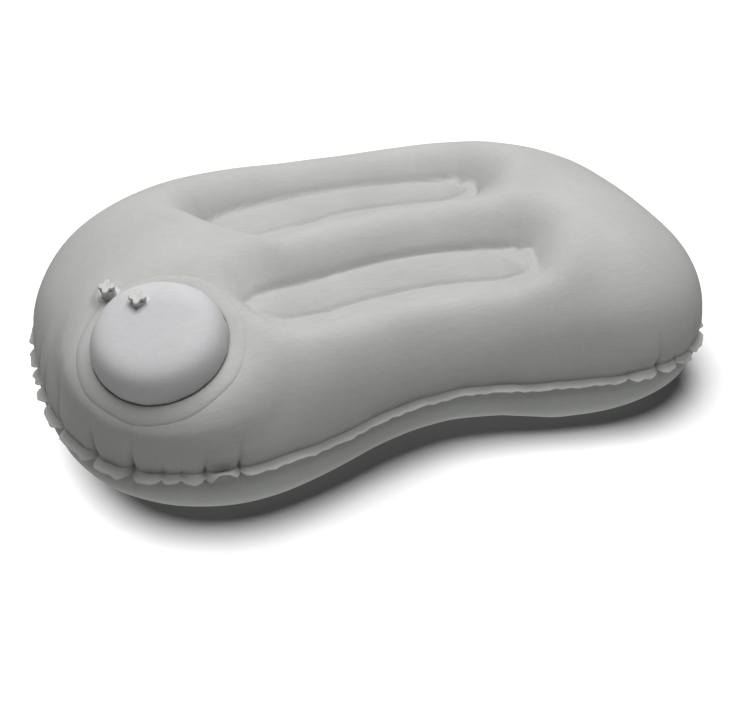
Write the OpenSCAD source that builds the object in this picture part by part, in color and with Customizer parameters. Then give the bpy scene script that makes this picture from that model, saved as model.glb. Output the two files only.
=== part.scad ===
// Press-inflated camp pillow: two welded fabric panels around an air bladder, tied together
// inside by two tube baffles, with a foam-sprung press pump and two plug valves at one end.
// Millimetres, +Z up, origin on the ground under the middle of the pillow.
// +X runs along the pillow, away from the pump, and the concave neck side faces -Y.

/* [Seam outline] */
// Length of the seam outline, without the flange
seam_length = 458; // [400:2:520]
// Distance from the pump-end axis to the seam at the back
seam_back = 158; // [140:1:175]
// How square the outline is: 2 is an ellipse
outline_power = 2.66; // [2.2:0.02:3.2]
// How far the neck side is pulled in at the middle
neck_depth = 61; // [0:1:70]
// Half width over which the neck side is pulled in
neck_spread = 152; // [120:2:170]
// Height of the seam above the ground
seam_height = 51; // [45:1:58]
// Width of the welded flange outside the seam
flange_width = 6; // [4:0.5:8]

/* [Panels] */
// Thickness of the laminated fabric, drawn thicker than it is
skin = 1; // [0.8:0.1:1.2]
// Rise of the top panel over the seam at mid length
crown_mid = 79; // [70:1:86]
// Rise of the top panel over the seam at both ends
crown_end = 93; // [86:1:98]
// Distance from the middle at which the end rise is reached
crown_reach = 190; // [170:5:210]
// How far the middle of the underside arches off the ground
belly_lift = 11; // [4:1:14]
// How far the underside is flattened by the ground
ground_sink = 6; // [4:1:8]

/* [Weld bands] */
// Half length of a weld band
band_reach = 100; // [90:1:104]
// Half width of a weld band
band_half = 16; // [15:0.5:17]
// Width of the slope from a band up to the panel
band_slope = 24; // [22:1:28]
// Middle of both bands along the pillow
band_x = -6; // [-10:0.5:2]
// Place of the front band's ends, from the pump-end axis
front_band_y = -59; // [-60:0.5:-56]
// Place of the rear band's ends, from the pump-end axis
rear_band_y = 48; // [46:0.5:50]
// How far the front band bows backwards
front_bow = 21.5; // [18:0.5:23]
// How far the rear band bows backwards
rear_bow = 18.5; // [17:0.5:21]
// Height of the top panel on the bands
band_top = 102; // [96:0.5:104]
// Height of the bottom panel under the bands
band_bottom = 30; // [26:1:34]
// Width of the weld along each edge of a band
weld_width = 6; // [4:0.5:6]
// Diameter of the air holes through the baffles
vent_d = 12; // [6:1:16]

/* [Pump] */
// Lean of the pump's axis from the vertical
pump_lean = 24.5; // [20:0.5:28]
// Direction in which the pump leans
pump_heading = -124; // [-130:1:-114]
// Radius of the crease round the pump dome
dome_radius = 37.5; // [34:0.5:38]
// Height of the pump dome over its base
dome_height = 21; // [20.5:0.5:24]
// Radius of the dome's rounded shoulder
shoulder = 11.5; // [10:0.5:12]
// Outer radius of the pump's weld ring
ring_radius = 45; // [43:0.5:46]
// Thickness of the pump's films
film = 0.8; // [0.6:0.1:1]
// Travel of the pump when it is pressed
pump_travel = 14; // [10:1:16]

/* [Valves] */
// Bore of the two plug valves
valve_bore = 5; // [4.5:0.5:5.5]
// Outer diameter of a valve's neck
neck_d = 8; // [7.5:0.5:9.5]
// Height of the release valve's neck over the panel
release_neck = 7; // [4:0.5:8]
// Height of the intake valve's neck over the pump dome
intake_neck = 3; // [2:0.5:5]
// Width of the star-shaped plug heads over their lobes
star_width = 10; // [9:0.5:12]

/* [Hidden] */

// Profile of the panels: powers of the plan's shrink and of the rise, for each panel
top_plan_power = 3;
top_rise_power = 2.3;
bottom_plan_power = 3;
bottom_rise_power = 2.9;
// The crown rises by this much per millimetre towards the back
crown_back_rise = 0.031;
// The belly's arch fades over this length
belly_spread = 67;
// Cells of the panels' grids, along X and Y
top_cells = [66, 42];
bottom_cells = [44, 30];

half_length = seam_length / 2;
// The band's centre line, without its round ends
band_run = band_reach - band_half;
// Middle line of the weld and of the baffle's wall, from the band's centre line
weld_line = band_half - weld_width / 2;
// Turn from one air hole to the next, about the middle of the bow
vent_spacing = 12;
// Straight runs that make up a band's long edge and its round end
bow_steps = 23;
end_steps = 16;

// Pump seat: its middle in the outline's own frame, and the flattened panel round it
pump_x = -167;
pump_y = -67;
pump_z = 107.5;
seat_flat = 47;
seat_blend = 68;
seat_depth = 14;

// Small gap between parts that move past each other
gap = 0.3;
// Height of the fold line between the pump's sidewall and its crown, which comes down to
// just over the weld ring
fold_height = 2 * film + pump_travel + 2 * gap;
// How far the dome's wall bulges out over its crease
wall_bulge = 0.8;
foam_radius = 31;
foam_height = 16;
seat_flange_d = 13;
transfer_bore = 6;
flap_thickness = 0.5;
flap_bead = 0.7;
star_height = 2.4;
plug_play = 0.05;
// Places of the two plug valves in the pump's own frame
intake_spot = [-13, -12];
release_spot = [-27, -39];
// Turn of the star heads about their axes
star_turn = 8;
round_fn = 64;
dome_fn = 96;

cloth_colour = [0.66, 0.67, 0.66];
lining_colour = [0.56, 0.57, 0.57];
pump_colour = [0.72, 0.72, 0.72];
valve_colour = [0.60, 0.61, 0.60];
foam_colour = [0.84, 0.82, 0.76];

function smooth(t) = let (c = min(1, max(0, t))) c * c * (3 - 2 * c);
function mix(a, b, t) = a + (b - a) * t;

// ---- Seam outline ----

function neck_pull(x, s) = s < 0 ? neck_depth * exp(-pow(x / neck_spread, 2)) * pow(-s, 0.7) : 0;

function outline_raw(a) =
    let (
        c = cos(a),
        s = sin(a),
        k = pow(abs(c) / half_length, outline_power) + pow(abs(s) / seam_back, outline_power),
        r = pow(k, -1 / outline_power)
    )
    [r * c, r * s + neck_pull(r * c, s)];

// The outline is set so that its front and back seams lie evenly about y = 0
outline_y = [for (a = [0:0.5:359.5]) outline_raw(a)[1]];
shift_y = -(max(outline_y) + min(outline_y)) / 2;

function outline_normal(a) =
    let (
        d = outline_raw(a + 0.5) - outline_raw(a - 0.5)
    )
    [d[1], -d[0]] / norm(d);

// ---- Weld bands ----

function bow_radius(bow) = (band_reach * band_reach + bow * bow) / (2 * bow);

// Distance of a point from a band's edge, negative inside the band
function band_distance(x, y, band_y, bow) =
    let (
        along = max(0, abs(x - band_x) - band_run),
        centre = band_y + bow - bow_radius(bow)
            + sqrt(pow(bow_radius(bow), 2) - pow(min(abs(x - band_x), band_run), 2))
    )
    norm([along, y - centre]) - band_half;

function band_weight(x, y) =
    let (
        d = min(
            band_distance(x, y, front_band_y, front_bow),
            band_distance(x, y, rear_band_y, rear_bow)
        )
    )
    1 - smooth(d / band_slope);

// ---- Panel surfaces ----

pump_axis = [
    sin(pump_lean) * cos(pump_heading),
    sin(pump_lean) * sin(pump_heading),
    cos(pump_lean)
];
pump_seat = [pump_x, pump_y, pump_z];

// The panel lies flat under the pump, and its wall far below the pump stays as it is
function seat_flatten(p) =
    let (
        lift = (p - pump_seat) * pump_axis,
        off_axis = norm(p - pump_seat - lift * pump_axis),
        near = 1 - smooth((off_axis - seat_flat) / (seat_blend - seat_flat)),
        level = 1 - smooth((abs(lift) - seat_depth) / seat_depth)
    )
    p - near * level * lift * pump_axis;

function crown_rise(x, y) =
    mix(crown_mid, crown_end, smooth(abs(x) / crown_reach)) + crown_back_rise * y;

// Height over the seam, from 1 at the middle to 0 at the seam, r being the way out to the seam
function dome_curve(r, plan_power, rise_power) = pow(1 - pow(r, plan_power), 1 / rise_power);

// Plan point at heading a, r of the way from the middle to the seam. The grid's rows bow
// backwards with the bands.
function plan_point(a, r) =
    let (
        p = outline_raw(a) * r,
        along = max(0, 1 - pow(p[0] / band_reach, 2)),
        back = smooth((p[1] + 60) / 80)
    )
    p + [0, rear_bow * along * back * (1 - r * r)];

// Outer face of the top panel at heading a, r of the way from its middle to the seam
function top_face(a, r) =
    let (
        p = plan_point(a, r),
        rise = crown_rise(p[0], p[1]) - skin,
        z = seam_height + skin + rise * dome_curve(r, top_plan_power, top_rise_power)
    )
    seat_flatten([p[0], p[1], mix(z, min(z, band_top), band_weight(p[0], p[1]))]);

// Face of the bottom panel, which goes no lower than the given floor
function bottom_face(a, r, floor) =
    let (
        p = plan_point(a, r),
        arch = belly_lift * exp(-pow(p[0] / belly_spread, 2)) * (1 - pow(r, bottom_plan_power)),
        deep = seam_height - skin + ground_sink,
        curve = dome_curve(r, bottom_plan_power, bottom_rise_power),
        low = max(floor, deep * (1 - curve) + arch - ground_sink)
    )
    [p[0], p[1], mix(low, max(low, band_bottom), band_weight(p[0], p[1]))];

// Grid point (u, v) of the square -1..1, as the heading and the way out to the seam, with
// the cells closer together near the seam
function grid_place(u, v) =
    let (
        x = u * sqrt(1 - v * v / 2),
        y = v * sqrt(1 - u * u / 2),
        m = min(1, norm([x, y]))
    )
    [atan2(y, x), mix(m, sin(90 * m), 0.5)];

// side is 1 for the top panel and -1 for the bottom one. The bottom panel's outer face dips
// below the ground, where it is cut flat.
function outer_point(side, a, r) = side > 0 ? top_face(a, r) : bottom_face(a, r, -ground_sink);

function inner_point(side, a, r) =
    let (n = outline_normal(a) * skin * r)
    (side > 0 ? top_face(a, r) : bottom_face(a, r, 0)) - [n[0], n[1], side * skin];

// Indices of the grid's rim, anticlockwise from its first corner
function rim(cells) = let (nu = cells[0], nv = cells[1]) [
    for (i = [0:nu - 1]) i * (nv + 1),
    for (j = [0:nv - 1]) nu * (nv + 1) + j,
    for (i = [nu:-1:1]) i * (nv + 1) + nv,
    for (j = [nv:-1:1]) j
];

function reversed(list) = [for (i = [len(list) - 1:-1:0]) list[i]];
function facing(faces, up) = up ? [for (f = faces) reversed(f)] : faces;

// Triangles of the grid, anticlockwise from above, split away from the four corners
function grid_faces(cells, first) = let (nu = cells[0], nv = cells[1]) [
    for (i = [0:nu - 1])
        for (j = [0:nv - 1])
            let (
                a = first + i * (nv + 1) + j,
                b = a + nv + 1,
                c = b + 1,
                d = a + 1,
                even = (2 * i + 1 - nu) * (2 * j + 1 - nv) > 0
            )
            each (even ? [[a, b, c], [a, c, d]] : [[a, b, d], [b, c, d]])
];

// A strip of triangles between two rings of indices, facing out and up
function strip_faces(from, to) = let (n = len(from)) [
    for (k = [0:n - 1])
        let (m = (k + 1) % n)
        each [[from[k], to[k], to[m]], [from[k], to[m], from[m]]]
];

module panel(side, cells) {
    nu = cells[0];
    nv = cells[1];
    count = (nu + 1) * (nv + 1);
    places = [
        for (i = [0:nu]) for (j = [0:nv]) grid_place(2 * i / nu - 1, 2 * j / nv - 1)
    ];
    outer = [for (g = places) outer_point(side, g[0], g[1])];
    inner = [for (g = places) inner_point(side, g[0], g[1])];
    rim_at = rim(cells);
    edge = [
        for (k = rim_at)
            let (a = places[k][0])
            outline_raw(a) + outline_normal(a) * flange_width
    ];
    edge_far = [for (p = edge) [p[0], p[1], seam_height + side * skin]];
    edge_near = [for (p = edge) [p[0], p[1], seam_height]];
    n = len(rim_at);
    rim_outer = rim_at;
    rim_inner = [for (k = rim_at) k + count];
    rim_far = [for (k = [0:n - 1]) 2 * count + k];
    rim_near = [for (k = [0:n - 1]) 2 * count + n + k];
    shell = concat(
        grid_faces(cells, 0),
        facing(grid_faces(cells, count), true),
        strip_faces(rim_outer, rim_far),
        strip_faces(rim_far, rim_near),
        strip_faces(rim_near, rim_inner)
    );
    translate([0, shift_y, 0])
        polyhedron(
            points = concat(outer, inner, edge_far, edge_near),
            faces = facing(shell, side > 0),
            convexity = 6
        );
}

// ---- Baffles ----

// Points of an arc about a centre, from one heading to another
function arc(centre, r, from, to, steps) =
    [for (i = [0:steps - 1]) let (a = mix(from, to, i / steps)) centre + r * [cos(a), sin(a)]];

// Plan of a bowed band with round ends, about the middle of its bow
module band_plan(radius, half) {
    swing = asin(band_run / radius);
    right = radius * [sin(swing), cos(swing)];
    left = radius * [-sin(swing), cos(swing)];
    polygon(concat(
        arc([0, 0], radius + half, 90 + swing, 90 - swing, bow_steps),
        arc(right, half, 90 - swing, -90 - swing, end_steps),
        arc([0, 0], radius - half, 90 - swing, 90 + swing, bow_steps),
        arc(left, half, 270 + swing, 90 + swing, end_steps)
    ));
}

// An upright strip of a baffle that follows the band's edge
module band_strip(radius, middle, width, from, to) {
    translate([0, 0, from])
        linear_extrude(to - from)
            difference() {
                band_plan(radius, middle + width / 2);
                band_plan(radius, middle - width / 2);
            }
}

// A tube wall with a weld foot along each edge, and air holes through it
module baffle(band_y, bow) {
    radius = bow_radius(bow);
    low = band_bottom + skin;
    high = band_top - skin;
    translate([band_x, band_y + bow - radius + shift_y, 0])
        difference() {
            union() {
                band_strip(radius, weld_line, weld_width, low, low + skin);
                band_strip(radius, weld_line, skin, low, high);
                band_strip(radius, weld_line, weld_width, high - skin, high);
            }
            for (k = [-1, 0, 1])
                rotate([0, 0, k * vent_spacing])
                    translate([0, radius - band_half, (low + high) / 2])
                        rotate([-90, 0, 0])
                            cylinder(d = vent_d, h = 2 * band_half, $fn = round_fn);
        }
}

// ---- Pump ----

// Places children in the pump's own frame: origin on the seat, +Z out along the pump's axis
module at_pump() {
    translate([pump_x, pump_y + shift_y, pump_z])
        rotate([0, pump_lean, pump_heading])
            children();
}

// Outline of the dome, inset by a thickness, from the crease up to the axis
function dome_profile(inset) =
    let (
        r = shoulder - inset,
        corner = [dome_radius + wall_bulge - shoulder, dome_height - shoulder]
    )
    [
        [dome_radius - inset, 2 * film],
        [dome_radius + wall_bulge - inset, film + corner[1] / 2],
        for (a = [0:7.5:82.5]) corner + r * [cos(a), sin(a)],
        [corner[0] / 2, dome_height + 0.75 * dome_rise - inset],
        [0, dome_height + dome_rise - inset]
    ];
// Small rise of the dome's top over its shoulder
dome_rise = 1.2;

module dome_shell() {
    rotate_extrude($fn = dome_fn)
        difference() {
            polygon(concat([[0, 2 * film]], dome_profile(0)));
            polygon(concat([[0, 0], [dome_radius - film, 0]], dome_profile(film)));
        }
}

// A disc that reaches past the pump, from one height to another
module pump_slice(from, to) {
    translate([0, 0, from])
        cylinder(r = ring_radius + 5, h = to - from, $fn = dome_fn);
}

// A round film, notched to clear the release valve's flange
module pump_ring(inner, from) {
    translate([0, 0, from])
        difference() {
            cylinder(r = ring_radius, h = film, $fn = dome_fn);
            translate([0, 0, -1])
                cylinder(r = inner, h = film + 2, $fn = dome_fn);
            translate([release_spot[0], release_spot[1], -1])
                cylinder(d = seat_flange_d + 2 * gap, h = film + 2, $fn = round_fn);
        }
}

// ---- Valves ----

// A round neck with a base flange, bored through
module valve_neck(flange_d, below, above, bore) {
    difference() {
        union() {
            cylinder(d = flange_d, h = film, $fn = round_fn);
            translate([0, 0, -below])
                cylinder(d = neck_d, h = below + above, $fn = round_fn);
        }
        translate([0, 0, -below - 1])
            cylinder(d = bore, h = below + above + 2, $fn = round_fn);
    }
}

// A stopper with a four-lobed head, whose underside is at z = 0
module star_plug(stem) {
    lobe = star_width / 5;
    reach = star_width / 2 - lobe / 2;
    rotate([0, 0, star_turn]) {
        cylinder(d = star_width * 0.6, h = star_height, $fn = round_fn);
        for (a = [0:90:270])
            rotate([0, 0, a]) {
                translate([0, -lobe / 2, 0])
                    cube([reach, lobe, star_height]);
                translate([reach, 0, 0])
                    cylinder(d = lobe, h = star_height, $fn = round_fn);
            }
    }
    translate([0, 0, -stem])
        cylinder(d = valve_bore - 2 * plug_play, h = stem, $fn = round_fn);
}

// A thin one-way flap whose hinge bead lies across its -X side
module flap(d) {
    cylinder(d = d, h = flap_thickness, $fn = round_fn);
    translate([-d / 2, -d / 4, 0])
        cube([d / 2, d / 2, flap_thickness]);
    translate([-d / 2, d / 4, flap_thickness / 2])
        rotate([90, 0, 0])
            cylinder(d = flap_bead, h = d / 2, $fn = round_fn);
}

// Height of the crown's outer face over the seat, where the intake valve stands
intake_height = dome_height + dome_rise * 0.2;

module at_intake() {
    at_pump()
        translate([intake_spot[0], intake_spot[1], intake_height - film])
            children();
}

module at_release() {
    at_pump()
        translate([release_spot[0], release_spot[1], 0])
            children();
}

// ---- Sub-parts ----

module top_panel() {
    color(cloth_colour)
        difference() {
            panel(1, top_cells);
            at_pump()
                translate([0, 0, -5])
                    cylinder(d = neck_d, h = 10, $fn = round_fn);
            at_release()
                translate([0, 0, -12])
                    cylinder(d = neck_d, h = 24, $fn = round_fn);
        }
}

module bottom_panel() {
    color(cloth_colour)
        difference() {
            panel(-1, bottom_cells);
            translate([-seam_length, -seam_length, -2 * ground_sink])
                cube([2 * seam_length, 2 * seam_length, 2 * ground_sink]);
        }
}

module front_baffle() {
    color(lining_colour)
        baffle(front_band_y, front_bow);
}

module rear_baffle() {
    color(lining_colour)
        baffle(rear_band_y, rear_bow);
}

module pump_base() {
    color(lining_colour)
        at_pump()
            pump_ring(neck_d / 2, 0);
}

module pump_weld_ring() {
    color(pump_colour)
        at_pump()
            pump_ring(dome_radius, film);
}

module pump_sidewall() {
    color(pump_colour)
        at_pump()
            intersection() {
                dome_shell();
                pump_slice(0, fold_height - gap);
            }
}

module pump_crown() {
    color(pump_colour)
        difference() {
            at_pump()
                intersection() {
                    dome_shell();
                    pump_slice(fold_height, dome_height + 10);
                }
            at_intake()
                translate([0, 0, -8])
                    cylinder(d = neck_d, h = 16, $fn = round_fn);
        }
}

module pump_foam() {
    color(foam_colour)
        at_pump()
            translate([0, 0, 2 * film + gap])
                difference() {
                    cylinder(r = foam_radius, h = foam_height, $fn = dome_fn);
                    for (spot = [[0, 0], intake_spot])
                        translate([spot[0], spot[1], -1])
                            cylinder(d = seat_flange_d, h = foam_height + 2, $fn = round_fn);
                }
}

module transfer_valve_seat() {
    color(valve_colour)
        at_pump()
            translate([0, 0, film])
                valve_neck(seat_flange_d, film + 2 * skin + 1, film, transfer_bore);
}

module transfer_valve_flap() {
    color(valve_colour)
        at_pump()
            translate([0, 0, -2 * skin - 1 - gap - flap_thickness])
                flap(neck_d);
}

module intake_valve_seat() {
    color(valve_colour)
        at_intake()
            translate([0, 0, film])
                valve_neck(seat_flange_d, film + 1, intake_neck, valve_bore);
}

module intake_valve_flap() {
    color(valve_colour)
        at_intake()
            translate([0, 0, -1 - gap - flap_thickness])
                flap(neck_d);
}

module intake_plug() {
    color(valve_colour)
        at_intake()
            translate([0, 0, film + intake_neck + gap])
                star_plug(intake_neck);
}

module release_valve_seat() {
    color(valve_colour)
        at_release()
            valve_neck(seat_flange_d, 4, release_neck, valve_bore);
}

module release_plug() {
    color(valve_colour)
        at_release()
            translate([0, 0, release_neck + gap])
                star_plug(release_neck);
}

top_panel();
bottom_panel();
front_baffle();
rear_baffle();
pump_base();
pump_weld_ring();
pump_sidewall();
pump_crown();
pump_foam();
transfer_valve_seat();
transfer_valve_flap();
intake_valve_seat();
intake_valve_flap();
intake_plug();
release_valve_seat();
release_plug();
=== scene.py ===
"""Camp pillow: an air-filled, welded fabric pillow with a press pump and two plug valves.

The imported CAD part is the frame. Welded covers, flange, pump dome, weld ring, foam and valve
plugs are built round it here, in metres, in the row frame.
"""

import math

import bmesh
import bpy
import numpy as np
from mathutils import Matrix, Vector
from mathutils.bvhtree import BVHTree


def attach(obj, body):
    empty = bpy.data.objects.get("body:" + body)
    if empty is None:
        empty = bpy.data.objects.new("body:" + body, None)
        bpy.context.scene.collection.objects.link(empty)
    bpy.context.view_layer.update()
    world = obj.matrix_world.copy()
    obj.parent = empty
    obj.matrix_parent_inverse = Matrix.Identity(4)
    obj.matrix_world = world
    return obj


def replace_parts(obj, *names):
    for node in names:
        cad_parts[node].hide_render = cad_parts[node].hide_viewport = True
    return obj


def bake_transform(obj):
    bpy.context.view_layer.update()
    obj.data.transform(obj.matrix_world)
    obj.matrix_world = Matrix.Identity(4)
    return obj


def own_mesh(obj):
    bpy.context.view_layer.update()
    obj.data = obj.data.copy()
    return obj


MM = 0.001

# ---- Camera: degrees, lens and sensor in millimetres, shift in picture widths ----

CAMERA_AZIMUTH = -26.1
CAMERA_ELEVATION = 32.8
CAMERA_ROLL = 4.1
CAMERA_DISTANCE = 690 * MM
CAMERA_TARGET = (0, -19 * MM, 60 * MM)
CAMERA_LENS = 49.3
SENSOR_WIDTH = 36
CAMERA_SHIFT = (-0.0242, -0.0832)
NEAREST_SEEN = 10 * MM

# ---- Light: the sky's heights go from 0 straight down to 1 straight up ----

SKY_TINT = (0.98, 1.0, 0.985)
SKY_BELOW_TOP = 0.38
SKY_LEVEL_TOP = 0.6
SKY_BELOW = 1.42
SKY_FRONT = 0.29
SKY_BACK = 0.72
KEY_SIZE = (1.2, 1.2)
KEY_TARGET = (0, 0, 50 * MM)
KEY_PLACE = (0, 0.02, 1.55)
KEY_POWER = 31.4
FLOOR_SUN_PLACE = (-0.52, 0.03, 1.6)
FLOOR_SUN_SPREAD = 46
FLOOR_SUN_STRENGTH = 20.5
FLOOR_REACH = 6
FLOOR_SHADE = (0.2, 0.2, 0.2, 1)

# ---- Seam outline, as in the CAD part ----

HALF_LENGTH = 229 * MM
SEAM_BACK = 158 * MM
OUTLINE_POWER = 2.66
NECK_DEPTH = 61 * MM
NECK_SPREAD = 152 * MM
SEAM_HEIGHT = 51 * MM
SEAM_PINCH = 2.2 * MM
PINCH_REACH = 6 * MM

# ---- Pleats: measures across a fold are in its own widths ----

FOLD_SHARE = 0.7
FOLD_SHARPNESS = 1.5
FOLD_ROUNDING = 0.05
VALLEY_SHARE = 0.3
VALLEY_WIDTH = 4
PUCKER_SHARE = 0.1
PUCKER_PLACE = 5.5
PUCKER_WIDTH = 2.4
PLEAT_WIDENING = 30 * MM
PLEAT_SPREAD = 12 * MM
PULL_LEVEL = 22 * MM
WAVE_START = 20 * MM
LIFT_REACH = 26 * MM

# ---- Flange ----

FLANGE_WIDTH = 6 * MM
FLANGE_THICK = 0.7 * MM
FLANGE_DROOP = 42
FLIP_HEADING = -137.2
FLIP_REACH = 6.5 * MM
FLIP_TURN = 1.6
LIP = 0.45 * MM
CURL_POWER = 1.35
LONG_TILE = 80 * MM
LONG_TILE_SHARE = 0.72
PLEATED_SHARE = 0.4
# Shares of the width at which the flange has a row of points, and its thickness there
FLANGE_SHARES = [-0.25, 0, 0.15, 0.35, 0.6, 0.8, 0.91, 1.0]
FLANGE_TAPER = [1.6, 1.35, 1.1, 1, 1, 1, 0.85, 0.35]

# ---- Panels ----

CROWN_MID = 79 * MM
CROWN_END = 93 * MM
CROWN_REACH = 190 * MM
CROWN_BACK_RISE = 0.031
TOP_RISE_POWER = 2.3
BOTTOM_RISE_POWER = 2.9
PLAN_POWER = 3
FRONT_RISE_POWER = 2.1
FRONT_PLAN_POWER = 2.3
BELLY_LIFT = 11 * MM
BELLY_SPREAD = 67 * MM
GROUND_SINK = 6 * MM
GROUND_EASE = 1.5 * MM
MEAN_REACH = 150 * MM

# ---- Weld bands ----

BAND_TOP = 102 * MM
BAND_BOTTOM = 30 * MM
WELD_WIDTH = 9 * MM
STRIP_DOME = 7.5 * MM
CREASE_DEPTH = 0.8 * MM
CREASE_WIDTH = 1.4 * MM
GROOVE_DEPTH = 2 * MM
GROOVE_WIDTH = 2.2 * MM
GROOVE_FADE = 16 * MM
REAR_ROUNDING = 12 * MM
LEAST_CORNER = 3 * MM
BAND_EASE = 7 * MM
END_BORDERS = (1 * MM, 5 * MM)
REAR_WALL = (33 * MM, 2.2)
FRONT_WALL = (60 * MM, 1.7)
END_WALL = (34 * MM, 2.3)

# ---- Pump ----

PUMP_SEAT = (-167 * MM, -67 * MM, 107.5 * MM)
PUMP_LEAN = 24.5
PUMP_HEADING = -124
DOME_RADIUS = 37.5 * MM
DOME_HEIGHT = 21 * MM
WALL_BULGE = 0.2 * MM
DOME_SQUARENESS = 6.5
CROWN_BULGE = 1.3 * MM
FAR_SAG = 3 * MM
RING_RADIUS = 45 * MM
FILM = 0.8 * MM
FOAM_RADIUS = 31 * MM
FOAM_HEIGHT = 16 * MM
FOAM_HOLLOW = 5 * MM
INTAKE_SPOT = (-13 * MM, -12 * MM)
RELEASE_SPOT = (-27 * MM, -39 * MM)

# ---- Dark and light shades ----

SHELL_SHADES = ((0.385, 0.388, 0.378), (0.455, 0.458, 0.448))
# The flange is the shell's own fabric: these shades are the shell's made a little lighter, a
# painted highlight on the flange.
FLANGE_PAINTED_LIGHT_SHADES = ((0.40, 0.403, 0.393), (0.47, 0.473, 0.463))
PUMP_SHADES = ((0.475, 0.466, 0.477), (0.545, 0.536, 0.547))
LINING_SHADES = ((0.27, 0.28, 0.28), (0.36, 0.37, 0.37))
PLASTIC_SHADES = ((0.43, 0.43, 0.42), (0.51, 0.51, 0.50))
# The foam's dark shade is painted shade in its cell mouths; the light shade is the foam's own
# colour.
FOAM_COLOUR_AND_PORE_SHADE = ((0.50, 0.47, 0.38), (0.78, 0.75, 0.66))

# ---- Mesh density ----

RIM_POINTS = 760
TOP_RINGS = 78
BOTTOM_RINGS = 56
CORE_SHARE = 0.5
CORE_BLEND = 0.16
DOME_ROWS = 90
PUMP_TURNS = 288
FOAM_TURNS = 160
SMALL_TURNS = 96
STAR_TURNS = 128


def smooth(t):
    """Eases from 0 to 1 as t goes from 0 to 1."""
    c = np.clip(t, 0, 1)
    return c * c * (3 - 2 * c)


def mix(a, b, t):
    """Goes from a to b as t goes from 0 to 1."""
    return a + (b - a) * t


# ---------------------------------------------------------------- outline

def outline_raw(a):
    """The seam's outline at headings: a rounded oblong, drawn in at the neck in front."""
    c, s = np.cos(a), np.sin(a)
    k = np.abs(c / HALF_LENGTH) ** OUTLINE_POWER + np.abs(s / SEAM_BACK) ** OUTLINE_POWER
    r = k ** (-1 / OUTLINE_POWER)
    x = r * c
    pull = np.where(s < 0, NECK_DEPTH * np.exp(-((x / NECK_SPREAD) ** 2)) * np.abs(s) ** 0.7, 0)
    return x, r * s + pull


_headings = np.linspace(-np.pi, np.pi, 7201)
_y = outline_raw(_headings)[1]
SHIFT_Y = -(_y.max() + _y.min()) / 2
_steps = np.hypot(*(np.diff(v) for v in outline_raw(_headings)))
_arc = np.concatenate([[0], np.cumsum(_steps)])
SEAM_LENGTH = _arc[-1]


def arc_at(heading):
    """Distance along the seam at a heading in radians."""
    return np.interp(heading, _headings, _arc)


def heading_at(arc):
    """Heading in radians at a distance along the seam."""
    return np.interp(arc % SEAM_LENGTH, _arc, _headings)


def outline_normal(a):
    """Outward unit direction of the outline."""
    step = 0.004
    x1, y1 = outline_raw(a + step)
    x0, y0 = outline_raw(a - step)
    length = np.hypot(x1 - x0, y1 - y0)
    return (y1 - y0) / length, -(x1 - x0) / length


# ---------------------------------------------------------------- pleats and ripples

# Pleats of the near side: heading in degrees, depth, width and reach up the wall in
# millimetres, and lean
SEEN_PLEATS = [
    (-134.5, 4.4, 1.0, 14, 0.05), (-140, 3.8, 1.0, 12, 0), (-143.6, 1.2, 0.8, 8, 0),
    (-146.5, 1.6, 0.8, 10, 0), (-151.5, 5.6, 1.1, 18, -0.03), (-158.5, 6.0, 1.1, 20, 0.03),
    (-167.5, 6.0, 1.1, 22, 0.12), (-174.2, 4.6, 1.0, 15, 0.05), (-179, 5.4, 1.1, 18, 0.12),
    (175.8, 4.0, 1.0, 13, 0), (169.5, 4.2, 1.0, 13, 0.05),
    (-50, 1.4, 0.9, 8, 0), (-43, 5.4, 1.0, 12, 0.04), (-38, 2.2, 0.9, 9, 0),
    (-32, 5.6, 1.0, 13, -0.04), (-24, 5.2, 1.0, 11, 0),
]
# The ends round which more pleats lie: from heading, to heading, mean spacing in degrees,
# mean depth
HIDDEN_ENDS = [(163, 112, 6, 1.9), (-17, 66, 7, 1.9), (72, 106, 12, 0.9)]


def make_pleats():
    """Every pleat, as (place along the seam, depth, width, reach, lean), in their order."""
    rng = np.random.default_rng(11)
    pleats = [
        (float(arc_at(math.radians(h))), d * MM, w * MM, reach * MM, lean)
        for h, d, w, reach, lean in SEEN_PLEATS
    ]
    for first, last, spacing, depth in HIDDEN_ENDS:
        heading = min(first, last)
        while heading < max(first, last):
            size = rng.uniform(0.45, 1.45)
            pleats.append((
                float(arc_at(math.radians(heading))), depth * size * MM,
                rng.uniform(1.0, 1.3) * MM, (6 + 9 * size) * MM, rng.uniform(-0.1, 0.1),
            ))
            heading += spacing * rng.uniform(0.7, 1.3)
    return sorted(pleats)


PLEATS = make_pleats()


def seam_gap(s, place):
    """Signed distance along the seam from a place on it."""
    return (s - place + SEAM_LENGTH / 2) % SEAM_LENGTH - SEAM_LENGTH / 2


def pleat_depth(s, h, reach_share=1.0):
    """How far the pleats pull the fabric in, at arc s and h away from the seam: a narrow fold
    in a shallow valley, between two low puckers."""
    pulled = np.zeros(np.broadcast(s, h).shape)
    for place, depth, width, reach, lean in PLEATS:
        t = np.abs(seam_gap(s + lean * h, place)) / (width * (1 + h / PLEAT_WIDENING))
        fold = np.exp(-FOLD_SHARPNESS * (np.sqrt(t * t + FOLD_ROUNDING) - FOLD_ROUNDING ** 0.5))
        valley = VALLEY_SHARE * np.exp(-((t / VALLEY_WIDTH) ** 2))
        pucker = PUCKER_SHARE * np.exp(-(((t - PUCKER_PLACE) / PUCKER_WIDTH) ** 2))
        fade = np.exp(-((h / (reach * reach_share)) ** 1.5))
        spread = mix(0.25, 1, np.exp(-h / PLEAT_SPREAD))
        pulled += depth * fade * (FOLD_SHARE * fold + (valley - pucker) * spread)
    return pulled


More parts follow.
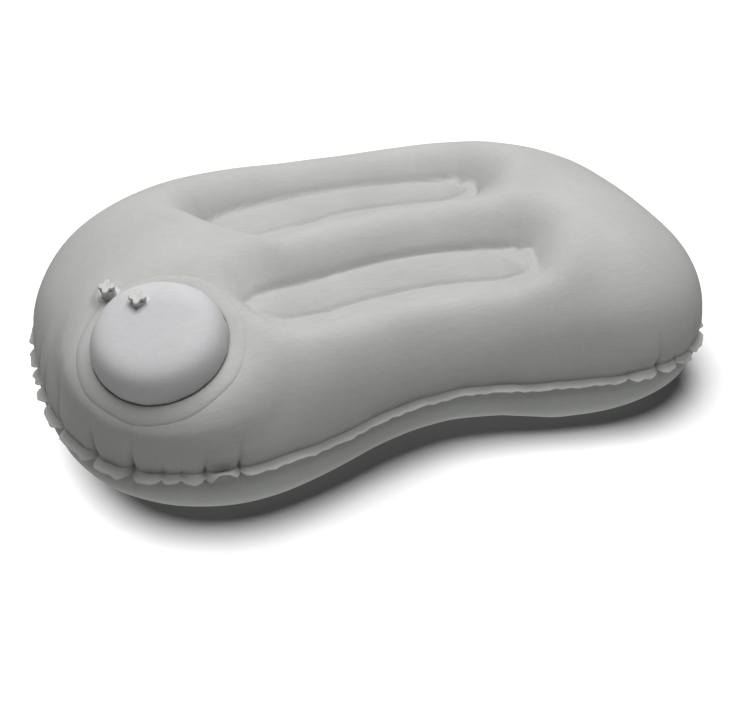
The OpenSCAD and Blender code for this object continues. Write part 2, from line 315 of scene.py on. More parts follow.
def seam_places(shares):
    """Distances along the seam for even shares of it, drawn closer together at the pleats."""
    s = np.linspace(0, SEAM_LENGTH, 8001)
    density = np.ones_like(s)
    deep, near, crowding = 3 * MM, 3.5 * MM, 2.4
    for place, depth, *_ in PLEATS:
        crowd = crowding * min(depth / deep, 1)
        density += crowd * np.exp(-((seam_gap(s, place) / near) ** 2))
    total = np.concatenate([[0], np.cumsum((density[1:] + density[:-1]) / 2)])
    return np.interp(np.asarray(shares) % 1, total / total[-1], s)


def seam_pinch(h):
    """How far the weld line lies inside the walls that bulge over it."""
    return SEAM_PINCH * np.exp(-((h / PINCH_REACH) ** 2))


def ripple(s, waves, seed):
    """A sum of waves that closes round the seam: waves are (wavelength, amplitude)."""
    rng = np.random.default_rng(seed)
    total = np.zeros(np.shape(s))
    for length, amplitude in waves:
        turns = max(1, round(SEAM_LENGTH / length))
        total += amplitude * np.sin(2 * np.pi * (s / SEAM_LENGTH * turns + rng.random()))
    return total


def seam_lift(s):
    """The seam's own small ups and downs."""
    return ripple(s, [(140 * MM, 0.7 * MM), (67 * MM, 0.45 * MM), (31 * MM, 0.25 * MM)], 3)


def undulate(p):
    """Slow waves of a few tenths of a millimetre, as any filled fabric has."""
    rng = np.random.default_rng(5)
    count, height = 14, 0.085 * MM
    total = np.zeros(p.shape[:-1])
    for _ in range(count):
        direction = rng.normal(size=3)
        direction /= np.linalg.norm(direction)
        length = rng.uniform(34, 110) * MM
        total += np.sin(2 * np.pi * (p @ direction) / length + rng.uniform(0, 2 * np.pi))
    return total * height


# ---------------------------------------------------------------- weld bands

# Each band lies on an arc: the arc's top point and radius, the half width and its change along
# the band, and for the left and right ends the reach, the lift, and the radii of the rear and
# front corners
FRONT_BAND = {
    "top": (-4 * MM, -39.5 * MM), "radius": 235 * MM, "half": 17.5 * MM, "flare": 0.013,
    "reach": (107 * MM, 88 * MM), "lift": (8 * MM, 8 * MM),
    "rear_corner": (3 * MM, 3 * MM), "front_corner": (18 * MM, 10 * MM),
}
REAR_BAND = {
    "top": (6 * MM, 65 * MM), "radius": 275 * MM, "half": 15.6 * MM, "flare": -0.03,
    "reach": (113 * MM, 90 * MM), "lift": (2.6 * MM, 6.5 * MM),
    "rear_corner": (3 * MM, 3 * MM), "front_corner": (17 * MM, 12 * MM),
}
LIFT_START = 60 * MM


def band_place(x, y, band):
    """Along and across a band, from the top point of its centre line."""
    top_x, top_y = band["top"]
    dx = x - top_x
    dy = y - (top_y - band["radius"] + SHIFT_Y)
    return band["radius"] * np.arctan2(dx, dy), np.hypot(dx, dy) - band["radius"]


def meet(a, b, corner):
    """Distance to the corner of two edges, rounded: negative inside both."""
    outside = np.hypot(np.maximum(a + corner, 0), np.maximum(b + corner, 0))
    return outside + np.minimum(-corner, np.maximum(a, b))


def sided(u, pair):
    """The left or the right value of a pair."""
    return np.where(u < 0, pair[0], pair[1])


def band_shape(x, y, band):
    """How far the panel has risen from the strip to the crown, from 0 to 1, and the strip's
    height over its level."""
    u, v = band_place(x, y, band)
    half = band["half"] + band["flare"] * u
    end = np.abs(u) - sided(u, band["reach"])
    rear, front = v - half, -v - half
    share = (np.abs(u) - LIFT_START) / (sided(u, band["reach"]) - LIFT_START)
    lift = sided(u, band["lift"]) * smooth(share)
    inner_end = end + sided(u, END_BORDERS)
    front_corner = sided(u, band["front_corner"])
    height = lift + strip_height(front, rear, inner_end, half, front_corner)
    across = np.where(v > 0, rear, front)
    corner = np.where(v > 0, sided(u, band["rear_corner"]), front_corner)
    wall = [np.where(v > 0, back, fore) for back, fore in zip(REAR_WALL, FRONT_WALL)]
    return wall_rise(across, end, corner, wall), height


def strip_height(front, rear, end, half, corner):
    """Height of the strip over its flat weld border, which runs along the front and the ends:
    a crease line, then a rise that eases off towards the rear edge, and a groove at the foot of
    the rear wall."""
    end = end + meet(rear, end, REAR_ROUNDING) - np.maximum(rear, end)
    inner = meet(front + WELD_WIDTH, end, np.maximum(corner - LEAST_CORNER, LEAST_CORNER))
    t = np.clip(-inner / (2 * half - WELD_WIDTH), 0, 1)
    rise = STRIP_DOME * (1 - (1 - t) ** 2)
    crease = CREASE_DEPTH * np.exp(-((inner / CREASE_WIDTH) ** 2))
    groove = GROOVE_DEPTH * np.exp(-((rear / GROOVE_WIDTH) ** 2))
    return rise - crease - groove * smooth(-end / GROOVE_FADE)


def wall_run(risen, wall):
    """Distance from the strip's edge at which a wall of a width and power has risen so far."""
    return wall[0] * (1 - (1 - risen) ** (1 / wall[1]))


def wall_rise(across, end, corner, wall):
    """From 0 at the strip's edge to 1 on the crown. Lines of equal rise are straight along the
    strip and quarter ellipses round its corners, found by halving."""
    p, q = np.maximum(across + corner, 0), np.maximum(end + corner, 0)
    low, high = np.zeros_like(p), np.ones_like(p)
    halvings, least = 18, 1e-5
    for _ in range(halvings):
        risen = (low + high) / 2
        a, b = wall_run(risen, wall) + corner, wall_run(risen, END_WALL) + corner
        within = (p / a) ** 2 + (q / b) ** 2 <= 1
        high = np.where(within, risen, high)
        low = np.where(within, low, risen)
    return np.where(low > least, (low + high) / 2, 0)


def sink_bands(x, y, z, level, side):
    """Draws the panel down to the weld bands; side is 1 for the top and -1 for the bottom."""
    risen = np.ones_like(z)
    height = np.zeros_like(z)
    weight = np.full_like(z, 1e-9)
    for band in (FRONT_BAND, REAR_BAND):
        share, strip = band_shape(x, y, band)
        risen = risen * share
        height += (1 - share) * strip
        weight += 1 - share
    over = side * (z - level) - height / weight
    depth = (over + np.sqrt(over * over + BAND_EASE ** 2)) / 2
    return z - side * depth * (1 - risen)


# ---------------------------------------------------------------- pump frame

def pump_matrix():
    """The pump's own frame: its seat on the panel, with z along its axis."""
    turn = Matrix.Rotation(math.radians(PUMP_HEADING), 4, "Z")
    lean = Matrix.Rotation(math.radians(PUMP_LEAN), 4, "Y")
    x, y, z = PUMP_SEAT
    return Matrix.Translation((x, y + SHIFT_Y, z)) @ turn @ lean


PUMP = pump_matrix()
PUMP_AXIS = np.array(PUMP.to_3x3() @ Vector((0, 0, 1)))
SEAT_POINT = np.array(PUMP.translation)
VALVE_POINT = np.array(PUMP @ Vector((*RELEASE_SPOT, 0)))
SEAT_FLAT = 38.5 * MM
SEAT_BLEND = 76 * MM
SEAT_DEPTH = 14 * MM
SEAT_GAP = 0.15 * MM
VALVE_FLAT = 6 * MM
VALVE_BLEND = 10 * MM


def axis_gap(p, centre):
    """Distance of points from the line along the pump's axis through a centre."""
    lift = (p - centre) @ PUMP_AXIS
    return np.linalg.norm(p - centre - lift[..., None] * PUMP_AXIS, axis=-1)


def flatten_seat(p):
    """The panel lies flat under the pump and the release valve, a hair below them, and falls
    away under the weld ring."""
    lift = (p - SEAT_POINT) @ PUMP_AXIS
    out = np.clip((axis_gap(p, SEAT_POINT) - SEAT_FLAT) / (SEAT_BLEND - SEAT_FLAT), 0, 1)
    valve = 1 - smooth((axis_gap(p, VALVE_POINT) - VALVE_FLAT) / VALVE_BLEND)
    near = np.maximum((1 - out) ** 1.5, valve)
    level = 1 - smooth((np.abs(lift) - SEAT_DEPTH) / SEAT_DEPTH)
    return p - (near * level * (lift + SEAT_GAP))[..., None] * PUMP_AXIS


# ---------------------------------------------------------------- panels

def dome_curve(r, power, plan=PLAN_POWER):
    """Share of the full rise at a share of the way out to the seam."""
    return np.clip(1 - r ** plan, 0, 1) ** (1 / power)


def top_surface(a, r):
    """Points of the top panel at headings and shares of the way out."""
    x, y = outline_raw(a)
    x, y = x * r, y * r
    rise = mix(CROWN_MID, CROWN_END, smooth(np.abs(x) / CROWN_REACH)) + CROWN_BACK_RISE * y
    front = smooth((-np.sin(a) - 0.2) / 0.8) * smooth(r / 0.2)
    power = mix(TOP_RISE_POWER, FRONT_RISE_POWER, front)
    curve = dome_curve(r, power, mix(PLAN_POWER, FRONT_PLAN_POWER, front))
    z = SEAM_HEIGHT + rise * curve
    y = y + SHIFT_Y
    z = sink_bands(x, y, z, BAND_TOP, 1)
    return flatten_seat(np.stack([x, y, z], -1))


def bottom_surface(a, r):
    """Points of the bottom panel: flat where it rests, with an arch under the middle."""
    x, y = outline_raw(a)
    x, y = x * r, y * r
    arch = BELLY_LIFT * np.exp(-((x / BELLY_SPREAD) ** 2)) * (1 - r ** PLAN_POWER)
    z = (SEAM_HEIGHT + GROUND_SINK) * (1 - dome_curve(r, BOTTOM_RISE_POWER)) + arch - GROUND_SINK
    z = (z + np.sqrt(z * z + GROUND_EASE ** 2)) / 2
    y = y + SHIFT_Y
    z = sink_bands(x, y, z, BAND_BOTTOM, -1)
    return np.stack([x, y, z], -1)


def ring_shares(rings, wall):
    """Shares of the way out, from the core to the seam, evenly spaced along the surface."""
    r = np.linspace(0, 1, 4000)
    run = MEAN_REACH * r
    rise = wall * dome_curve(r, TOP_RISE_POWER)
    length = np.concatenate([[0], np.cumsum(np.hypot(np.diff(run), np.diff(rise)))])
    first = np.interp(CORE_SHARE, r, length)
    shares = np.interp(np.linspace(first, length[-1], rings + 1), length, r)
    shares[-1] = 1
    return shares


def ring_normals(p, side):
    """Outward unit normals of rings of points."""
    along = np.roll(p, -1, 1) - np.roll(p, 1, 1)
    out = np.gradient(p, axis=0)
    n = np.cross(out, along) * side
    return n / np.maximum(np.linalg.norm(n, axis=-1, keepdims=True), 1e-12)


def core_places(points):
    """(headings, shares) of the square grid that fills the middle, its rim evenly along the
    seam's headings."""
    n = points // 4
    tiny = 1e-9
    steps = np.linspace(-1, 1, n + 1)
    u, v = np.meshgrid(steps, steps, indexing="ij")
    m = np.maximum(np.abs(u), np.abs(v))
    safe = np.maximum(m, tiny)
    uu, vv = u / safe, v / safe
    right = (uu >= 1 - tiny) & (vv < 1 - tiny)
    top = (vv >= 1 - tiny) & (uu > -1 + tiny)
    leftward = (uu <= -1 + tiny) & (vv > -1 + tiny)
    turn = np.select(
        [right, top, leftward], [(vv + 1) / 2, 1 + (1 - uu) / 2, 2 + (1 - vv) / 2],
        3 + (uu + 1) / 2,
    )
    return turn / 4, m * CORE_SHARE


def core_rim(n):
    """Indices of the square grid's rim, anticlockwise from its first corner on the right."""
    side = n + 1
    return (
        [n * side + j for j in range(n)] + [i * side + n for i in range(n, 0, -1)]
        + [j for j in range(n, 0, -1)] + [i * side for i in range(n)]
    )


def cover_mesh(name, side, surface, rings, wall, reach_share):
    """One panel: a square grid in the middle and rings of faces out to the seam."""
    n = RIM_POINTS // 4
    arcs = seam_places(np.arange(RIM_POINTS) / RIM_POINTS)
    headings = heading_at(arcs)
    shares = ring_shares(rings, wall)
    a, r = np.broadcast_arrays(headings[None, :], shares[:, None])
    p = pleated(surface(a, r), arcs, headings, shares, side, reach_share)
    turn, share = core_places(RIM_POINTS)
    core = surface(heading_at(seam_places(turn)), share)
    core = core + undulate(core)[..., None] * np.array([0, 0, side])
    rim = core_rim(n)
    flat_core = core.reshape(-1, 3)
    flat_core[rim] = p[0]
    points = np.concatenate([flat_core, p[1:].reshape(-1, 3)])
    i, j = np.meshgrid(np.arange(n), np.arange(n), indexing="ij")
    k = (i * (n + 1) + j).ravel()
    faces = [np.stack([k, k + n + 1, k + n + 2, k + 1], -1)]
    first = (n + 1) ** 2
    inner = np.array(rim)
    for ring in range(rings):
        outer = first + ring * RIM_POINTS + np.arange(RIM_POINTS)
        faces.append(np.stack([inner, outer, np.roll(outer, -1), np.roll(inner, -1)], -1))
        inner = outer
    faces = np.concatenate(faces)
    return new_mesh(name, points, faces if side > 0 else faces[:, ::-1])


def pleated(p, arcs, headings, shares, side, reach_share):
    """Rings of points with the pleats, the seam's waves and the slow undulation."""
    steps = np.linalg.norm(np.diff(p[::-1], axis=0), axis=-1)
    h = np.concatenate([np.zeros((1, p.shape[1])), np.cumsum(steps, 0)])[::-1]
    normals = ring_normals(p, side)
    nx, ny = outline_normal(headings)
    flat = np.broadcast_to(np.stack([nx, ny, np.zeros_like(nx)], -1), p.shape)
    share = smooth(h / PULL_LEVEL)[..., None]
    way = flat * (1 - share) + normals * share
    way = way / np.linalg.norm(way, axis=-1, keepdims=True)
    settle = smooth((shares - CORE_SHARE) / CORE_BLEND)[:, None]
    s = np.broadcast_to(arcs[None, :], h.shape)
    pulled = (pleat_depth(s, h, reach_share) + seam_pinch(h)) * settle
    moved = p - way * pulled[..., None]
    wave = undulate(p)
    moved = moved + way * (wave * (1 - np.exp(-h / WAVE_START)) * settle)[..., None]
    moved = moved + np.array([0, 0, side]) * (wave * (1 - settle))[..., None]
    moved[..., 2] += seam_lift(s) * np.exp(-((h / LIFT_REACH) ** 2))
    return moved


def new_mesh(name, points, faces):
    """A smooth object of faces that all have the same number of corners."""
    mesh = bpy.data.meshes.new(name)
    points = np.asarray(points, np.float32)
    faces = np.asarray(faces, np.int32)
    mesh.vertices.add(len(points))
    mesh.vertices.foreach_set("co", points.ravel())
    mesh.loops.add(faces.size)
    mesh.loops.foreach_set("vertex_index", faces.ravel())
    mesh.polygons.add(len(faces))
    mesh.polygons.foreach_set("loop_start", np.arange(len(faces), dtype=np.int32) * faces.shape[1])
    mesh.update(calc_edges=True)
    mesh.validate()
    return place_mesh(name, mesh)


def mixed_mesh(name, points, faces, matrix):
    """A smooth object of faces with three or four corners, its points moved by a matrix."""
    mesh = bpy.data.meshes.new(name)
    mesh.from_pydata([tuple(p) for p in points], [], faces)
    mesh.update()
    mesh.transform(matrix)
    return place_mesh(name, mesh)


def place_mesh(name, mesh):
    """Shades a mesh smooth and puts it in the scene."""
    mesh.polygons.foreach_set("use_smooth", np.ones(len(mesh.polygons), bool))
    obj = bpy.data.objects.new(name, mesh)
    bpy.context.scene.collection.objects.link(obj)
    return obj


# ---------------------------------------------------------------- flange

FLANGE_POINTS = 2 * RIM_POINTS


def seam_line(s):
    """Points of the pleated seam, and the outward direction there."""
    a = heading_at(s)
    x, y = outline_raw(a)
    nx, ny = outline_normal(a)
    pulled = pleat_depth(s, np.zeros_like(s)) + SEAM_PINCH
    z = SEAM_HEIGHT + seam_lift(s)
    return np.stack([x - nx * pulled, y + SHIFT_Y - ny * pulled, z], -1), np.stack([nx, ny], -1)


def blur(values, reach):
    """Smooths values round the seam over a distance."""
    step = SEAM_LENGTH / len(values)
    k = np.arange(len(values))
    gap = np.minimum(k, len(values) - k) * step
    kernel = np.exp(-((gap / reach) ** 2))
    kernel /= kernel.sum()
    return np.real(np.fft.ifft(np.fft.fft(values) * np.fft.fft(kernel)))


def flange_tiles(s):
    """The flange is a row of tiles between the deeper pleats: the lift of its cut edge, as each
    tile curls its own way, and the share of its width, as each narrows towards the pleats."""
    rng = np.random.default_rng(23)
    least_depth, corner, full_curl = 1 * MM, 7 * MM, 46 * MM
    places = np.array([p[0] for p in PLEATS if p[1] > least_depth])
    index = np.searchsorted(places, s) % len(places)
    start, end = places[index - 1], places[index]
    span = (end - start) % SEAM_LENGTH
    t = ((s - start) % SEAM_LENGTH) / span
    arch = rng.uniform(-0.3, 0.7, len(places)) * MM
    tip = rng.uniform(-0.7, 0.7, len(places)) * MM
    tight = np.clip(full_curl / span, 0.15, 1)
    curl = (arch[index] * 4 * t * (1 - t) + tip[index] * (t - 0.5) * 2) * tight
    end_gap = np.minimum(t, 1 - t) * span
    rounded = (1 - np.clip(1 - end_gap / corner, 0, 1) ** 2) ** 0.5
    narrow = mix(LONG_TILE_SHARE, 1, np.clip(LONG_TILE / span, 0, 1))
    width_share = mix(PLEATED_SHARE, 1, rounded) * narrow
    return blur(curl, 1.1 * MM), blur(width_share, 0.7 * MM)


def flange_rows(s):
    """Rows of points along the flange's middle, at the shares of its width in FLANGE_SHARES."""
    seam, way = seam_line(s)
    curl, width_share = flange_tiles(s)
    cut = ripple(s, [(23 * MM, 0.22 * MM), (12.5 * MM, 0.3 * MM), (8.7 * MM, 0.26 * MM)], 17)
    pulled = pleat_depth(s, np.zeros_like(s))
    width = (FLANGE_WIDTH + 0.3 * MM + cut) * width_share + 0.3 * pulled
    droop = np.radians(FLANGE_DROOP + ripple(s, [(210 * MM, 4), (83 * MM, 4), (29 * MM, 3)], 29))
    curl = curl + ripple(s, [(38 * MM, 0.25 * MM), (17 * MM, 0.2 * MM)], 31)
    flip = np.exp(-(((s - arc_at(math.radians(FLIP_HEADING))) / FLIP_REACH) ** 4))
    droop = droop * (1 - FLIP_TURN * flip)
    rows = []
    for t in FLANGE_SHARES:
        fall = droop * min(1, max(t, 0) * 3)
        lip = LIP * float(smooth((t - 0.8) / 0.2))
        rise = curl * max(t, 0) ** CURL_POWER
        out = width * t * np.cos(fall) + 0.5 * rise + 0.8 * lip
        z = seam[:, 2] - width * t * np.sin(fall) + 0.6 * rise + lip
        rows.append(np.stack([seam[:, 0] + way[:, 0] * out, seam[:, 1] + way[:, 1] * out, z], -1))
    return np.array(rows)


def make_flange():
    """The welded edge of both panels, from just inside the seam to its thin cut edge."""
    rows = flange_rows(np.arange(FLANGE_POINTS) / FLANGE_POINTS * SEAM_LENGTH)
    half = np.array([0, 0, FLANGE_THICK / 2])
    thickness = np.array(FLANGE_TAPER)[:, None, None]
    upper, lower = rows + half * thickness, rows - half * thickness
    loops = np.concatenate([upper, lower[::-1]])
    count = len(loops)
    index = np.arange(count * FLANGE_POINTS).reshape(count, FLANGE_POINTS)
    faces = []
    for k in range(count):
        a, b = index[k], index[(k + 1) % count]
        faces.append(np.stack([a, b, np.roll(b, -1), np.roll(a, -1)], -1))
    return new_mesh("seam_flange", loops.reshape(-1, 3), np.concatenate(faces))


# ---------------------------------------------------------------- turned pieces

ON_AXIS = 1e-9


def lathe(name, profile, turns, matrix, wobble=None, closed=False):
    """A mesh turned from a profile of (radius, height) points; wobble(angle, radius, height)
    may move the points. A point on the axis closes its end of the profile, and closed joins the
    profile's last point to its first."""
    profile = np.array(profile, float)
    angle = np.arange(turns) / turns * 2 * np.pi
    r, z = profile[:, 0][:, None], profile[:, 1][:, None]
    dr, dz = wobble(angle[None, :], r, z) if wobble else (0, 0)
    rr, zz = np.broadcast_arrays(r + dr + 0 * angle, z + dz + 0 * angle)
    rings = np.stack([rr * np.cos(angle), rr * np.sin(angle), zz], -1)
    points, index = [], []
    for radius, ring in zip(profile[:, 0], rings):
        if radius < ON_AXIS:
            index.append(np.full(turns, len(points)))
            points.append(ring.mean(0))
        else:
            index.append(len(points) + np.arange(turns))
            points.extend(ring)
    return mixed_mesh(name, points, turned_faces(index, closed), matrix)


def turned_faces(index, closed):
    """Faces between rings of point numbers. A ring that is one point gives triangles."""
    count, turns = len(index), len(index[0])
    faces = []
    for k in range(count if closed else count - 1):
        a, b = index[k], index[(k + 1) % count]
        for t in range(turns):
            u = (t + 1) % turns
            ring = [int(a[t]), int(a[u]), int(b[u]), int(b[t])]
            face = [v for i, v in enumerate(ring) if v != ring[i - 1]]
            if len(face) > 2:
                faces.append(face)
    return faces


def dome_height_at(r):
    """Height of the dome's face over the seat: a broad top, a round shoulder and a wall."""
    t = np.clip(r / (DOME_RADIUS + WALL_BULGE), 0, 1)
    return DOME_HEIGHT * (1 - t ** DOME_SQUARENESS) ** 0.5 + CROWN_BULGE * (1 - t ** 2)


def dome_points():
    """Profile of the dome from the crease to the middle."""
    r = np.sin(np.linspace(np.pi / 2, 0, DOME_ROWS)) * (DOME_RADIUS + WALL_BULGE)
    z = dome_height_at(r)
    crease = [(DOME_RADIUS - 0.6 * MM, 1.0 * MM), (DOME_RADIUS - 0.1 * MM, 1.7 * MM)]
    crease_top = 3 * MM
    return crease + [(a, b) for a, b in zip(r, z) if b > crease_top]


def dome_wobble(angle, r, z):
    """The dome's slight waves, small puckers low on its wall, and the sag of its far side."""
    share = np.clip(r / DOME_RADIUS, 0, 1)
    low = np.exp(-z / (5 * MM))
    upper = np.clip(z / DOME_HEIGHT, 0, 1)
    dr = 0.18 * MM * np.sin(5 * angle + 1.1) * share + 0.16 * MM * np.sin(17 * angle) * low
    sag = FAR_SAG * smooth((-r * np.cos(angle) - 14 * MM) / (22 * MM))
    dz = (0.22 * MM * np.sin(2 * angle + 0.6) * share ** 2 - sag) * upper
    return dr, dz


def panel_lift(cover, angle, r):
    """Height of the top cover over the pump's seat, at places about the pump's axis."""
    mesh = cover.data
    tree = BVHTree.FromPolygons([v.co for v in mesh.vertices], [p.vertices for p in mesh.polygons])
    start = 30 * MM
    lift = np.zeros(np.broadcast(angle, r).shape)
    for place, (a, q) in zip(np.ndindex(lift.shape), np.broadcast(angle, r)):
        above = PUMP @ Vector((q * math.cos(a), q * math.sin(a), start))
        lift[place] = start - tree.ray_cast(above, Vector(-PUMP_AXIS))[3]
    return lift


def ring_profile():
    """Height of the weld ring over the panel, tapering to its outer edge."""
    inner, outer = DOME_RADIUS + 0.35 * MM, RING_RADIUS + 2 * MM
    return [
        (inner, 0.4 * MM), (inner, 1.2 * MM), (inner + 0.5 * MM, 1.5 * MM),
        (inner + 2 * MM, 1.5 * MM), (inner + 4 * MM, 1.3 * MM), (outer - 3.2 * MM, 1.0 * MM),
        (outer - 2 * MM, 0.8 * MM), (outer - 1 * MM, 0.45 * MM), (outer, 0.1 * MM),
        (outer + 0.2 * MM, -0.4 * MM),
    ]


def base_profile():
    """Height of the pump's base film over the panel."""
    inner, outer = NECK_RADIUS + 0.3 * MM, RING_RADIUS - 1 * MM
    across = np.linspace(inner, outer, 14)
    return [(r, 0.3 * MM) for r in across] + [(r, 0.9 * MM) for r in across[::-1]]


def make_pump(cover):
    """The dome, and the weld ring and base film that follow the panel under them."""
    def ring_lie(angle, r, _):
        """The ring's slightly uneven edge, and its lie on the panel."""
        share = np.clip((r - DOME_RADIUS) / (RING_RADIUS - DOME_RADIUS), 0, 1.3) ** 2
        dr = (0.25 * np.sin(5 * angle + 0.4) + 0.15 * np.sin(9 * angle + 2)) * MM * share
        return dr, panel_lift(cover, angle, r + dr)

    def base_lie(angle, r, _):
        """The film's lie on the panel."""
        return 0 * angle, panel_lift(cover, angle, r)

    dome = lathe("pump_dome_cover", dome_points(), PUMP_TURNS, PUMP, dome_wobble)
    flip_out(dome, SEAT_POINT + PUMP_AXIS * 8 * MM)
    ring = lathe("pump_weld_flange", ring_profile(), PUMP_TURNS, PUMP, ring_lie)
    flip_out(ring, SEAT_POINT - PUMP_AXIS * 30 * MM)
    base = lathe("pump_base_film", base_profile(), SMALL_TURNS, PUMP, base_lie, closed=True)
    recalculate(base)
    return dome, ring, base


def recalculate(obj):
    """Turns the faces of a closed piece outward."""
    shape = bmesh.new()
    shape.from_mesh(obj.data)
    bmesh.ops.recalc_face_normals(shape, faces=shape.faces)
    shape.to_mesh(obj.data)
    shape.free()


def flip_out(obj, inside):
    """Turns the faces of a piece outward from a point inside it."""
    mesh = obj.data
    votes = sum((p.center - Vector(inside)).dot(p.normal) * p.area for p in mesh.polygons)
    if votes < 0:
        mesh.flip_normals()


def make_foam():
    """The sponge: a round block with soft edges, an air hole, and a hollow under the intake."""
    base = 2 * FILM + 0.3 * MM
    top = base + FOAM_HEIGHT
    edge, hole, step = 7 * MM, 6.2 * MM, 1.2 * MM
    profile = [(hole, base), (FOAM_RADIUS - edge, base)]
    profile += [
        (FOAM_RADIUS - edge + edge * math.sin(t), base + edge - edge * math.cos(t))
        for t in np.linspace(0.3, math.pi / 2, 7)
    ]
    profile += [
        (FOAM_RADIUS - edge + edge * math.cos(t), top - edge + edge * math.sin(t))
        for t in np.linspace(0, math.pi / 2, 9)
    ]
    face = np.arange(FOAM_RADIUS - edge - step, hole + 1.5 * MM, -step)
    profile += [(r, top) for r in face]
    profile += [(hole + 1 * MM, top), (hole, top - 1 * MM)]

    def pores(angle, r, z):
        """The cut face's coarse cells, and the hollow."""
        wave = np.sin(31 * angle + 900 * z) * np.sin(53 * angle + 1.7)
        away = np.hypot(r * np.cos(angle) - INTAKE_SPOT[0], r * np.sin(angle) - INTAKE_SPOT[1])
        hollow = FOAM_HOLLOW * (1 - smooth((away - 7 * MM) / (1.5 * MM))) * (z > top - 1.1 * MM)
        return 0.25 * MM * wave * (r > 12 * MM), -hollow

    foam = lathe("pump_foam_block", profile, FOAM_TURNS, PUMP, pores, closed=True)
    flip_out(foam, PUMP @ Vector((20 * MM, 0, 9 * MM)))
    return foam


# ---------------------------------------------------------------- valves

STAR_REACH = 5 * MM
STAR_WAIST = 3 * MM
STAR_HEIGHT = 2.4 * MM
STAR_TWIST = math.radians(8)
CORE_REACH = 2.4 * MM
NECK_RADIUS = 4 * MM
BORE_RADIUS = 2.5 * MM
SEAT_FLANGE = 6.5 * MM
VALVE_RISE = 0.24 * MM
INTAKE_NECK = 3 * MM
INTAKE_FOOT = FILM + 1 * MM
RELEASE_NECK = 7 * MM
RELEASE_FOOT = 4 * MM
CAP_GAP = 0.3 * MM


def stem_rings(angle, stem):
    """Rings of a stopper's round stem, from its end up to the head."""
    rows = [
        (0.6 * MM, -stem), (BORE_RADIUS - 0.5 * MM, -stem),
        (BORE_RADIUS - 0.1 * MM, -stem + 0.4 * MM), (BORE_RADIUS - 0.1 * MM, 0.0),
    ]
    return [
        np.stack([r * np.cos(angle), r * np.sin(angle), np.full(len(angle), z)], -1)
        for r, z in rows
    ]


def head_rings(angle):
    """Rings of a stopper's head: four soft lobes, round towards the middle of its top."""
    rows = [
        (0.55, 0.0), (0.93, 0.0), (0.985, 0.12), (1.0, 0.35), (1.0, 0.62), (0.97, 0.84),
        (0.9, 0.97), (0.78, 1.0), (0.6, 0.97), (0.35, 0.93), (0.15, 0.92),
    ]
    lobes = np.abs(np.cos(2 * (angle - STAR_TWIST))) ** 1.6
    outline = mix(STAR_WAIST, STAR_REACH, lobes)
    rings = []
    for share, height in rows:
        reach = outline * share if share > 0.7 else mix(CORE_REACH, outline, share / 0.9) * share
        z = np.full(len(angle), height * STAR_HEIGHT)
        rings.append(np.stack([reach * np.cos(angle), reach * np.sin(angle), z], -1))
    return rings


def star_cap(name, matrix, stem):
    """A stopper: a head with four soft lobes over a round stem."""
    turns = STAR_TURNS
    angle = np.arange(turns) / turns * 2 * np.pi
    rings = stem_rings(angle, stem) + head_rings(angle)
    index = np.arange(len(rings) * turns).reshape(len(rings), turns)
    low = len(rings) * turns
    ends = [[0, 0, -stem], [0, 0, 0.92 * STAR_HEIGHT]]
    points = np.concatenate(rings + [np.array(ends)])
    faces = turned_faces([np.full(turns, low), *index, np.full(turns, low + 1)], False)
    return mixed_mesh(name, points, faces, matrix)


def valve_seat(name, matrix, below, above):
    """A round neck with a flange round its foot and a rolled lip."""
    profile = [
        (BORE_RADIUS, -below), (NECK_RADIUS, -below), (NECK_RADIUS, 0.0),
        (SEAT_FLANGE - 0.3 * MM, 0.0), (SEAT_FLANGE, 0.25 * MM), (SEAT_FLANGE - 0.1 * MM, 0.6 * MM),
        (SEAT_FLANGE - 0.5 * MM, 0.8 * MM), (NECK_RADIUS + 0.45 * MM, 0.85 * MM),
        (NECK_RADIUS + 0.1 * MM, 1.15 * MM), (NECK_RADIUS - 0.1 * MM, 1.6 * MM),
        (NECK_RADIUS - 0.1 * MM, above - 0.9 * MM), (NECK_RADIUS, above - 0.6 * MM),
        (NECK_RADIUS, above - 0.2 * MM), (NECK_RADIUS - 0.3 * MM, above),
        (BORE_RADIUS + 0.3 * MM, above), (BORE_RADIUS, above - 0.3 * MM),
    ]
    seat = lathe(name, profile, SMALL_TURNS, matrix, closed=True)
    recalculate(seat)
    return seat


def make_valves():
    """Each valve piece with the body it rides on and the CAD node it stands for."""
    intake = PUMP @ Matrix.Translation((*INTAKE_SPOT, DOME_HEIGHT + VALVE_RISE))
    release = PUMP @ Matrix.Translation((*RELEASE_SPOT, 0))
    intake_head = intake @ Matrix.Translation((0, 0, INTAKE_NECK + CAP_GAP))
    release_head = release @ Matrix.Translation((0, 0, RELEASE_NECK + CAP_GAP))
    intake_seat = valve_seat("intake_valve_collar", intake, INTAKE_FOOT, INTAKE_NECK)
    intake_plug = star_cap("intake_star_plug", intake_head, INTAKE_NECK)
    release_seat = valve_seat("release_valve_collar", release, RELEASE_FOOT, RELEASE_NECK)
    release_plug = star_cap("release_star_plug", release_head, RELEASE_NECK)
    return [
        (intake_seat, "pump", "intake_valve_seat"),
        (intake_plug, "intake_stopper", "intake_plug"),
        (release_seat, "shell", "release_valve_seat"),
        (release_plug, "release_stopper", "release_plug"),
    ]


# ---------------------------------------------------------------- materials

def node(tree, kind, **inputs):
    """A shader node with some of its inputs set."""
    made = tree.nodes.new(kind)
    for name, value in inputs.items():
        made.inputs[name.replace("_", " ")].default_value = value
    return made


